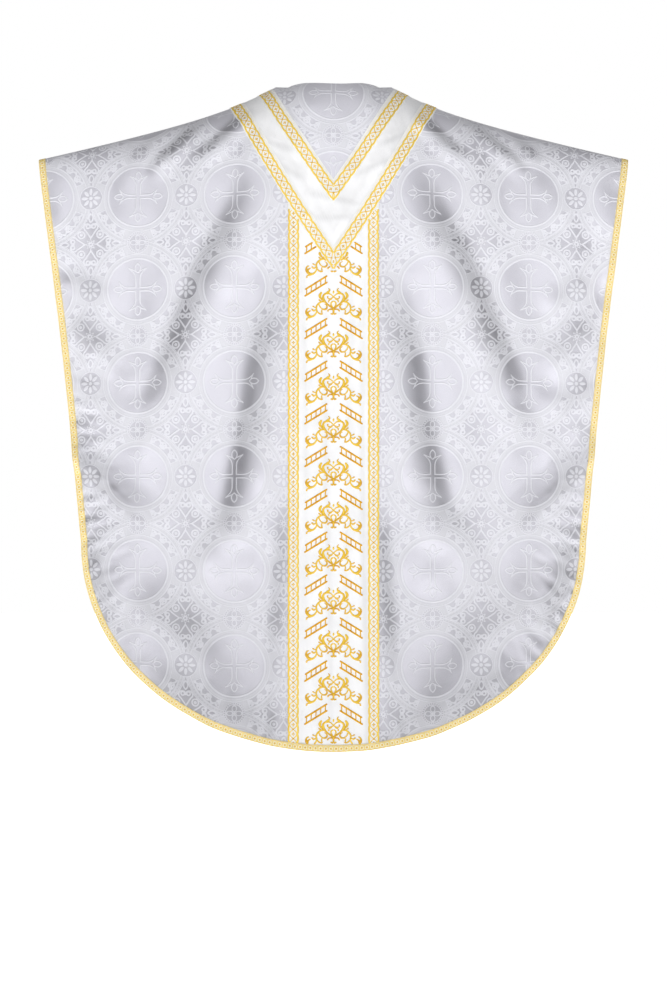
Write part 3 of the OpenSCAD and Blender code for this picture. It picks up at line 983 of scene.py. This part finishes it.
def shell_grid(face, columns, bend_rows, hang_rows):
    """Grid over a whole face: rows over the shoulder bend, then rows fanning down to the hem."""
    # the columns include the neckline's two ends and its middle
    near = max(4, int(columns * NECK_HALF / HALF_SPAN))
    beyond = np.linspace(NECK_HALF, HALF_SPAN, columns - near + 1)[1:]
    across = np.concatenate([np.linspace(0, NECK_HALF, near), beyond])
    tx = np.concatenate([-across[:0:-1], across])
    share = np.concatenate([np.linspace(0, 1, bend_rows) ** 1.8, np.ones(hang_rows)])
    drop = np.concatenate([np.zeros(bend_rows), np.linspace(0, 1, hang_rows + 1)[1:]])
    a = np.abs(tx)[None, :]
    corner = hem_point(45)
    fan = clamp01((a - FAN_FROM) / (HALF_SPAN - FAN_FROM))
    foot = np.where(a < FAN_FROM, a, mix(FAN_FROM, corner[0], fan))
    b, v = share[:, None], drop[:, None]
    side_z = mix(-TIP_DROP - BEND_DEPTH * b, corner[1], v)
    x = mix(a, foot, v) + fan * (side_x(side_z) - mix(HALF_SPAN, corner[0], v))
    x = x * np.sign(tx)[None, :]
    upper = ridge(x) - mix(neck_depth(tx, face)[None, :], BEND_DEPTH, b)
    lower = mix(ridge(tx)[None, :] - BEND_DEPTH, hem_z(foot), v)
    z = np.where(v > 0, lower, upper)
    return x, z


def yoke_edge(edge, f):
    """Point at fraction f down one leg of a V from the ridge."""
    top = ridge(edge[0])
    return edge[0] * (1 - f) * (1 + 0.12 * f), top - f * (top + edge[1])


def yoke_edge_z(edge, x):
    """Height of a V line at x: the inverse of yoke_edge."""
    b = 0.88
    f = (np.sqrt(b * b + 0.48 * (1 - np.minimum(np.abs(x) / edge[0], 1))) - b) / 0.24
    top = ridge(edge[0])
    return mix(top, -edge[1], f)


def yoke_line(inset):
    return YOKE_HALF - inset, YOKE_DROP - YOKE_STEEP * inset


def yoke_inner_line(out):
    return YOKE_INNER_HALF + out, YOKE_INNER_DROP + YOKE_STEEP * out


def yoke_stack(x, z):
    """Height of what lies under the yoke: the shell, and the column where it runs under."""
    a = np.abs(x)
    over = smooth((98 - a) / 12) * smooth((yoke_edge_z(yoke_line(52), x) - z) / 12)
    return YOKE_H + 1.25 * over


def yoke_grid(edge_a, edge_b, across, along):
    """Grid between two V lines, from the left shoulder down to the point and up again."""
    q = np.linspace(0, 1, along) ** 1.5
    k = np.linspace(0, 1, across)
    cols = []
    for share in k:
        edge = (mix(edge_a[0], edge_b[0], share), mix(edge_a[1], edge_b[1], share))
        x, z = yoke_edge(edge, q)
        cols.append((np.concatenate([-x, x[-2::-1]]), np.concatenate([z, z[-2::-1]])))
    x = np.stack([c[0] for c in cols])
    z = np.stack([c[1] for c in cols])
    return x, z


class Tape:
    """A band of braid along a centre line in cloth coordinates (x, t)."""

    def __init__(self, x, z, face):
        t = cloth_t(x, z, face)
        self.face = face
        self.line = np.stack([x, t], 1)
        self.run = run_of(self.line)
        tangent = tangent_of(self.line, self.run)
        self.normal = np.stack([tangent[:, 1], -tangent[:, 0]], 1)

    def extend(self, steps):
        """Carry the centre line straight on past its end."""
        reach = self.line[-1] + (self.line[-1] - self.line[-6]) * steps
        self.line = np.vstack([self.line, reach])
        self.run = np.append(self.run, self.run[-1] + np.linalg.norm(reach - self.line[-2]))
        self.normal = np.vstack([self.normal, self.normal[-1]])

    def __call__(self, s, w):
        """The point x, z at length s along the band and w to the side."""
        base, side = points_at(s, self.run, self.line), points_at(s, self.run, self.normal)
        x, t = base[:, 0] + w * side[:, 0], base[:, 1] + w * side[:, 1]
        return x, cloth_z(x, t, self.face)


def guilloche(threads, length, shift=0.0, dotted=None):
    """Scalloped borders, a crossing lattice and a four-petal figure in every diamond."""
    p = 17.4
    count = math.ceil(length / p)
    s = np.arange(0, count * p + 0.1, p / 12)
    cos1, cos2, sin1 = np.cos(np.pi * s / p), np.cos(2 * np.pi * s / p), np.sin(np.pi * s / p)
    for side in (-1, 1):
        border = side * (7.7 + 0.95 * np.sqrt(np.abs(cos1)) + 0.15 * cos2) + shift
        threads.line(np.stack([s, border], 1), 3.5, 0.7, 0.1, curve=False)
        lattice = side * 6.7 * sin1 + shift
        near = 0.1 + 0.6 * np.exp(-((np.abs(sin1) / 0.28) ** 2))
        threads.line(np.stack([s, lattice], 1), 2.0, 0.5, near, curve=False)
    for k in range(count + 1):
        threads.dot((k * p, shift), 1.5, 1.5, math.pi / 4, 0.75, 0.75, 6)
        for turn in range(4):
            a = turn * math.pi / 2
            petal = (k * p + p / 2 + 1.9 * math.cos(a), shift + 1.9 * math.sin(a))
            threads.dot(petal, 1.9, 1.2, a, 0.6, 0.42, 6)
    if dotted is not None:
        for at in np.arange(1.5, length, 3.2):
            threads.dot((at, dotted), 0.75, 0.5, 0, 0.35, 0.3, 5)


CREST_STROKES = [
    # points of the left half, widths along them, tones along them, which hold both colour and painted shade
    ([(0, -7.5), (-7, -2.6), (-13.4, 2.6), (-18, 8.6), (-19.6, 14.6), (-17.2, 19.2), (-12, 21.2),
      (-5.6, 19.6), (0, 14.6)],
     [2.2, 2.4, 2.2, 3.0, 3.4, 2.6, 2.4, 1.6, 1.4], [0.6, 0.4, 0.2, 0.3, 0.1]),
    ([(0, 14.6), (-4.4, 11.2), (-8.8, 10.9), (-11.4, 13.4), (-9.8, 16.0)],
     [1.4, 1.8, 1.8, 1.6, 2.6], [0.2, 0.4]),
    ([(-2.6, 10.6), (-8.6, 7.6), (-8.8, 3.8)], [0.8, 1.4, 2.4], [0.3, 0.2]),
    ([(0, 6.6), (-3.8, 4.4), (-4.6, 0.2), (-1.4, -4.4)], [1.8, 2.0, 2.0, 1.2], [0.1, 0.3]),
    ([(-16.4, 18.6), (-12.2, 22.4), (-8.0, 25.2), (-7.4, 28.2), (-10.2, 31.2)],
     [1.4, 2.8, 3.2, 2.0, 0.7], [0.3, 0.1, 0.5]),
    ([(-16.6, 5.6), (-22.6, 10.4), (-25.8, 16.6), (-21.8, 24.0)], [1.2, 2.4, 3.8, 2.4], [0.5, 0.3, 0.1]),
    ([(-19.0, 5.8), (-24.4, 6.6), (-28.0, 9.8)], [1.0, 1.6, 2.4], [0.3, 0.3]),
    ([(-15.0, 5.2), (-21.6, 5.4), (-27.2, 2.6), (-31.2, -2.0), (-32.2, -7.4), (-31.2, -12.0), (-33.2, -17.0),
      (-37.4, -21.2), (-42.6, -22.2), (-48.0, -19.2), (-51.0, -13.6), (-49.8, -8.6), (-45.6, -6.6)],
     [1.2, 1.8, 2.4, 2.4, 2.0, 2.2, 2.0, 2.4, 3.0, 4.0, 3.6, 2.2, 1.6], [0.4, 0.1, 0.3, 0.1, 0.2, 0.6, 0.2]),
    ([(-36.0, -20.4), (-43.0, -23.8), (-49.0, -25.4), (-50.6, -29.8)], [1.2, 2.2, 1.8, 2.2], [0.2, 0.3]),
    ([(-48.4, -18.2), (-46.8, -13.4), (-42.4, -11.0)], [2.6, 2.2, 1.6], [0.5, 0.3]),
    ([(-31.8, -5.6), (-36.0, -4.6), (-39.6, -2.4)], [1.2, 1.6, 2.2], [0.2, 0.4]),
    ([(-31.8, -8.2), (-36.8, -11.4), (-41.2, -7.8)], [1.4, 2.2, 2.0], [0.2, 0.3]),
    ([(-27.4, 2.2), (-25.6, -3.6), (-20.8, -8.2), (-15.2, -8.8), (-12.0, -5.0), (-13.6, -0.8), (-17.4, 1.2)],
     [1.2, 1.8, 1.6, 2.2, 2.6, 1.6, 0.6], [0.2, 0.2, 0.5, 0.2]),
    ([(-31.0, -12.0), (-27.6, -16.0), (-23.2, -17.8), (-20.0, -16.4)], [1.2, 2.0, 2.0, 2.4], [0.2, 0.4]),
    ([(-20.8, -8.2), (-22.4, -12.4), (-21.2, -16.2)], [1.0, 1.8, 2.0], [0.4, 0.3]),
    ([(0, -9.0), (-5.6, -8.6), (-9.8, -10.2), (-10.8, -13.4)], [2.6, 1.8, 1.8, 2.4], [0.7, 0.6, 0.3]),
    ([(0, -17.6), (-3.0, -17.4), (-5.8, -16.6)], [2.2, 2.6, 1.6], [0.3, 0.4]),
]


def crest(threads, z):
    """One crest, mirrored about the middle, with its finial, stem and jewel."""
    for points, widths, tones_and_shades in CREST_STROKES:
        for side in (-1, 1):
            line = [(side * px, z + pz) for px, pz in points]
            threads.line(line, [w * 1.55 for w in widths], 0.95, tones_and_shades, 1.9)
    threads.dot((0, z + 23.6), 1.9, 3.4, 0, 1.0, 0.1, 10)
    threads.line([(0, z - 4.4), (0, z - 16.8)], [5.0, 7.4, 4.2, 3.6, 5.0], 1.0, [0.6, 0.3, 0.5], 1.9)
    threads.dot((0, z + 14.4), 1.6, 1.6, 0, 1.0, 0.3, 8)


def ladder(threads, z, side):
    """Two slanting rails and five rungs, on one side of a crest."""
    inner, outer, gauge = (11.5, 54.5), (53.5, 28.5), 12.0
    for drop, ends in ((0.0, 0.0), (gauge, 1.2)):
        a = (side * (inner[0] - 0.3 * ends), z + inner[1] - drop)
        b = (side * (outer[0] + ends), z + outer[1] - drop - 0.6 * ends)
        threads.line([a, b], 3.5, 1.1, [0.5, 0.25, 0.6, 0.25, 0.5], 2.4)
    for k in range(5):
        share = 0.08 + 0.21 * k
        px = mix(inner[0], outer[0], share)
        top = z + mix(inner[1], outer[1], share)
        rung = [(side * px, top - 0.6), (side * (px + 0.4), top - gauge + 0.8)]
        threads.line(rung, 2.3, 0.6, 0.4, 2.4)


def outline(steps=110):
    """The edge from the right tip down to the middle of the hem."""
    z = mix(-TIP_DROP, -ROUND_DROP, np.linspace(0, 1, steps) ** 1.35)
    hx, hz = hem_point(90 * np.linspace(0, 1, steps)[1:])
    line = np.stack([np.concatenate([side_x(z), hx]), np.concatenate([z, hz])], 1)
    run = run_of(line)
    return points_at(np.concatenate([[0, 1.2, 3, 6], np.linspace(10, run[-1], 300)]), run, line)


def edge_lift(x):
    """Height of the edge braid: on the shell, and over the column where it crosses it."""
    return EDGE_H + 1.25 * smooth((112 - np.abs(x)) / 24)


def edge_rings(threads, length):
    """Pale rings with a gold dot in each, gold waves along both sides."""
    p = 9.6
    count = int(round(length / p))
    p = length / count
    a = np.linspace(0, 2 * math.pi, 13)
    for k in range(count):
        at = (k + 0.5) * p
        ring = np.stack([at + 3.1 * np.cos(a), 3.4 * np.sin(a)], 1)
        threads.line(ring, 1.35, 0.5, 0.0, closed=True, curve=False)
        threads.dot((at, 0), 1.55, 1.55, 0, 0.55, 0.85, 6)
        threads.dot((at + p / 2, 0), 1.1, 0.7, 0, 0.4, 0.6, 5)
    s = np.arange(0, length, p / 6)
    for side in (-1, 1):
        wave = side * (5.0 + 0.55 * np.cos(2 * math.pi * s / p))
        threads.line(np.stack([s, wave], 1), 1.0, 0.4, 0.42, curve=False)


class Half:
    """One half of the garment and the pieces made for it so far."""

    def __init__(self, name):
        self.name, self.face, self.pieces = name, FACES[name], {}

    def sheet(self, label, *grid_and_heights, material, uv=None):
        return slab(f"{self.name}_{label}", *grid_and_heights, self.face, material, uv)

    def add(self, key, piece, node, slot):
        self.pieces[key] = finish_piece(piece, self.name, f"{self.name}_{node}")


def make_shell(half):
    x, z = shell_grid(half.face, 98, 38, 186)
    # the damask inside the yoke is a separate cut, so its pattern sits lower
    yoke_middle = ((YOKE_HALF + YOKE_INNER_HALF) / 2, (YOKE_DROP + YOKE_INNER_DROP) / 2)
    inside = (np.abs(x) < 161) & (z > yoke_edge_z(yoke_middle, x))
    t = cloth_t(x, z, half.face) + np.where(inside, NAPE_SHIFT, 0.0)
    cloth = half.sheet("shell_cloth", x, z, *SHELL_H, material=DAMASK, uv=(x * MM, t * MM))
    half.add("shell", cloth, "shell", "damask")


def make_lining(half):
    x, z = shell_grid(half.face, 66, 26, 110)
    half.add("lining", half.sheet("lining_cloth", x, z, *LINING_H, material=LINING), "lining", "lining")


def column_grid(cols, inset):
    """Grid down the column from a line under the yoke to just above the hem."""
    down = np.linspace(0, 1, COLUMN_ROWS)[:, None]
    return cols + 0 * down, mix(yoke_edge_z(yoke_line(inset), cols), hem_z(cols) + 1, down)


def make_column(half):
    x, z = column_grid(np.linspace(-COLUMN_HALF + 1, COLUMN_HALF - 1, 43)[None, :], 42)
    cloth = half.sheet("column_orphrey_cloth", x, z, *ORPHREY_H, material=SATIN)
    half.add("column", cloth, "column_orphrey", "white_satin")


def make_yoke(half):
    x, z = yoke_grid(yoke_inner_line(2), yoke_line(9), 22, YOKE_ROWS)
    low = yoke_stack(x, z)
    cloth = half.sheet("yoke_orphrey_cloth", x, z, low, low + YOKE_THICK, material=SATIN)
    half.add("yoke", cloth, "yoke_orphrey", "white_satin")


def on_column(x, z, gap, inset):
    """Whether a point is below the yoke and above the edge braid."""
    return (z < yoke_edge_z(yoke_line(0), x) - gap) & (z > hem_z(x) + EDGE_TAPE - inset)


def make_column_braids(half):
    threads_from, threads_length = 250.0, 1020.0
    for side, word in ((-1, "left"), (1, "right")):
        mid = side * (COLUMN_HALF - COLUMN_TAPE / 2)
        cols = mid + np.linspace(-COLUMN_TAPE / 2, COLUMN_TAPE / 2, 6)[None, :]
        x, z = column_grid(cols, 5)
        uv = (-z * MM, (x - mid) * MM)
        label = f"column_galloon_{word}"
        tape = half.sheet(f"{label}_tape", x, z, *TAPE_H, material=TAPE, uv=uv)
        half.add(f"col_tape_{word}", tape, label, "gold_galloon")
        threads = Threads(
            lambda s, w, mid=mid: (mid + w, -s - threads_from),
            lambda x, z: np.full_like(x, TAPE_H[1]),
            half.face,
            lambda x, z, s, w: on_column(x, z, 0.5, 1),
        )
        guilloche(threads, threads_length)
        piece = threads.piece(f"{half.name}_{label}_threads", GOLD)
        half.add(f"col_threads_{word}", piece, label, "gold_galloon")


def yoke_tape_low(x, z, share, satin_side):
    """Underside of a yoke braid; its edge on the satin steps up onto the satin."""
    away = share if satin_side < 0 else 1 - share
    return yoke_stack(x, z) + 0.55 * (1 - smooth((away - 0.55) / 0.4))


def make_yoke_braid(half, word, inner, outer, satin_side):
    label = f"yoke_{word}_galloon"
    x, z = yoke_grid(inner, outer, 7, YOKE_ROWS)
    k = np.linspace(0, 1, 7)[:, None]
    low = yoke_tape_low(x, z, k, satin_side)
    run = run_of(np.stack([x[3], z[3]], 1))
    uv = (run[None, :] * MM + 0 * x, (k - 0.5) * 0.025 + 0 * x)
    tape = half.sheet(f"{label}_tape", x, z, low, low + YOKE_TAPE_THICK, material=TAPE, uv=uv)
    half.add(f"yoke_tape_{word}", tape, label, "gold_galloon")

    def tape_top(x, z):
        za, zb = yoke_edge_z(inner, x), yoke_edge_z(outer, x)
        share = clamp01((za - z) / np.maximum(za - zb, 1))
        return yoke_tape_low(x, z, share, satin_side) + YOKE_TAPE_THICK

    middle = (mix(inner[0], outer[0], 0.5), mix(inner[1], outer[1], 0.5))
    mx, mz = yoke_edge(middle, np.linspace(0, 1, 400) ** 1.5)
    for side, tag in ((-1, "left"), (1, "right")):
        centre = Tape(side * mx, mz, half.face)
        # so that the outer threads reach the mitre
        centre.extend(3.0)
        threads = Threads(
            centre,
            tape_top,
            half.face,
            lambda x, z, s, w, side=side: (side * x > -0.3) & (z < ridge(x) - 0.6),
        )
        guilloche(threads, centre.run[-1], shift=-side * 2.2, dotted=side * 10.2)
        piece = threads.piece(f"{half.name}_{label}_threads_{tag}", GOLD)
        half.add(f"yoke_threads_{word}_{tag}", piece, label, "gold_galloon")


def make_edge_braid(half):
    line = outline()
    tangent = tangent_of(line)
    inward = np.stack([tangent[:, 1], -tangent[:, 0]], 1)
    inward[-1] = (0, 1)
    k = np.linspace(0, 1, 5)[:, None]
    gx = line[:, 0][None] + inward[:, 0][None] * (EDGE_TAPE * k)
    gz = line[:, 1][None] + inward[:, 1][None] * (EDGE_TAPE * k)
    gx[:, -1] = 0
    gz[:, 0] = ridge(gx[:, 0])
    gz = np.minimum(gz, ridge(gx))
    run = run_of(np.stack([gx[2], gz[2]], 1))
    x = np.concatenate([gx, -gx[:, -2::-1]], 1)[::-1, ::-1]
    z = np.concatenate([gz, gz[:, -2::-1]], 1)[::-1, ::-1]
    runs = np.concatenate([run, 2 * run[-1] - run[-2::-1]])[::-1]
    uv = (runs[None] * MM + 0 * x, (0.5 - k) * EDGE_TAPE * MM + 0 * x)
    low = edge_lift(x)
    tape = half.sheet("edge_galloon_tape", x, z, low - 0.05, low + EDGE_THICK, material=EDGE, uv=uv)
    half.add("edge_tape", tape, "edge_galloon", "edge_galloon")
    for side, tag in ((-1, "left"), (1, "right")):
        centre = Tape(side * gx[2], gz[2], half.face)
        threads = Threads(
            centre,
            lambda x, z: edge_lift(x) + EDGE_THICK,
            half.face,
            lambda x, z, s, w, side=side: (side * x > -0.4) & (z < ridge(x) - 0.6),
        )
        edge_rings(threads, centre.run[-1])
        piece = threads.piece(f"{half.name}_edge_galloon_threads_{tag}", EDGE_GOLD)
        half.add(f"edge_threads_{tag}", piece, "edge_galloon", "edge_galloon")


def make_embroidery(half):
    def on_satin():
        return Threads(
            lambda p, q: (p, q),
            lambda x, z: np.full_like(x, ORPHREY_H[1]),
            half.face,
            lambda x, z, p, q: on_column(x, z, 0.6, 0),
        )

    crests, ladders = on_satin(), on_satin()
    for i in range(-1, CREST_COUNT):
        z = FIRST_CREST - CREST_PITCH * i
        crest(crests, z)
        for side in (-1, 1):
            ladder(ladders, z, side)
    for key, threads, material in (("crest", crests, CREST), ("ladder", ladders, LADDER)):
        piece = threads.piece(f"{half.name}_{key}_embroidery_threads", material)
        half.add(f"{key}s", piece, f"{key}_embroidery", f"{key}_thread")


def make_half(name):
    half = Half(name)
    make_shell(half)
    make_lining(half)
    make_column(half)
    make_yoke(half)
    make_column_braids(half)
    make_yoke_braid(half, "outer", yoke_line(YOKE_TAPE), yoke_line(0), -1)
    make_yoke_braid(half, "inner", yoke_inner_line(0), yoke_inner_line(YOKE_TAPE), 1)
    make_edge_braid(half)
    make_embroidery(half)
    return half.pieces


for made in [make_half(name) for name in FACES]:
    rest = [p for key, p in made.items() if key not in ("shell", "lining", "column", "yoke")]

# ------------------------------------------------------------------ stage, lights, camera
FLOOR_Z = -1.75


def floor():
    turns = np.linspace(0, 2 * math.pi, 97)[:-1]
    rings = [0.6, 1.5, 3.0, 6.0, 12.0]
    co = [(0, 0, FLOOR_Z)] + [(r * math.cos(a), r * math.sin(a), FLOOR_Z) for r in rings for a in turns]
    n = len(turns)
    faces = [(0, 1 + k, 1 + (k + 1) % n) for k in range(n)]
    for r in range(len(rings) - 1):
        for k in range(n):
            a, b = 1 + r * n + k, 1 + r * n + (k + 1) % n
            faces.append((a, a + n, b + n, b))
    g = Graph("studio_floor")
    split = g.nodes.new("ShaderNodeSeparateXYZ")
    g.links.new(g.position(), split.inputs[0])
    far = g.length(Value(g, split.outputs[0]), Value(g, split.outputs[1]))
    fade = g.math("SUBTRACT", far * 0.4, 0.2, clamp=True)
    grain = g.noise(g.position(), 3.0, 2.0, 0.5)
    g.set(
        Base_Color=g.blend(grain, rgb(246, 246, 247), rgb(250, 250, 250)),
        Roughness=0.85,
        Emission_Color=(1, 1, 1, 1),
        Emission_Strength=fade + 0.7,
    )
    me = bpy.data.meshes.new("studio_floor")
    me.from_pydata(co, [], faces)
    me.materials.append(g.material)
    me.update()
    piece = bpy.data.objects.new("studio_floor", me)
    bpy.context.scene.collection.objects.link(piece)


def area_light(name, place_at, aim, size, energy, colour=(1, 1, 1)):
    data = bpy.data.lights.new(name, "AREA")
    data.shape, data.size, data.size_y = "RECTANGLE", size[0], size[1]
    data.energy, data.color = energy, colour
    light = bpy.data.objects.new(name, data)
    light.location = place_at
    light.rotation_euler = (Vector(aim) - Vector(place_at)).to_track_quat("-Z", "Y").to_euler()
    light.visible_camera = False
    bpy.context.scene.collection.objects.link(light)


def world():
    w = bpy.data.worlds.new("studio")
    bpy.context.scene.world = w
    w.use_nodes = True
    g = Graph.__new__(Graph)
    g.nodes, g.links = w.node_tree.nodes, w.node_tree.links
    back = g.nodes["Background"]
    coord = g.nodes.new("ShaderNodeTexCoord")
    split = g.nodes.new("ShaderNodeSeparateXYZ")
    g.links.new(coord.outputs["Generated"], split.inputs[0])
    side = g.abs(Value(g, split.outputs[0]))
    up = Value(g, split.outputs[2])
    level = g.math("SUBTRACT", 0.675 - side * side * 0.84, up * up * 0.26, clamp=True)
    path = g.nodes.new("ShaderNodeLightPath")
    camera = Value(g, path.outputs["Is Camera Ray"])
    strength = g.high(level, camera)
    back.inputs["Color"].default_value = (1, 1, 1, 1)
    g.links.new(strength.socket, back.inputs["Strength"])


floor()
world()
area_light("key", (-1.6, -4.2, 1.6), (0, 0, -0.6), (3.6, 3.0), 21)
area_light("fill", (1.8, -4.2, 0.6), (0, 0, -0.7), (3.2, 3.0), 11)
area_light("rear_key", (1.4, 4.2, 1.4), (0, 0, -0.6), (3.8, 3.2), 21)

camera_data = bpy.data.cameras.new("camera")
camera_data.sensor_fit = "AUTO"
camera_data.sensor_width = 36.0
camera_data.lens = 65.7
camera_data.clip_end = 60
camera = bpy.data.objects.new("camera", camera_data)
camera.location = (0, -3.546, -0.797)
camera.rotation_euler = (math.radians(90), 0, 0)
bpy.context.scene.collection.objects.link(camera)
bpy.context.scene.camera = camera
bpy.context.scene.view_settings.view_transform = "Standard"
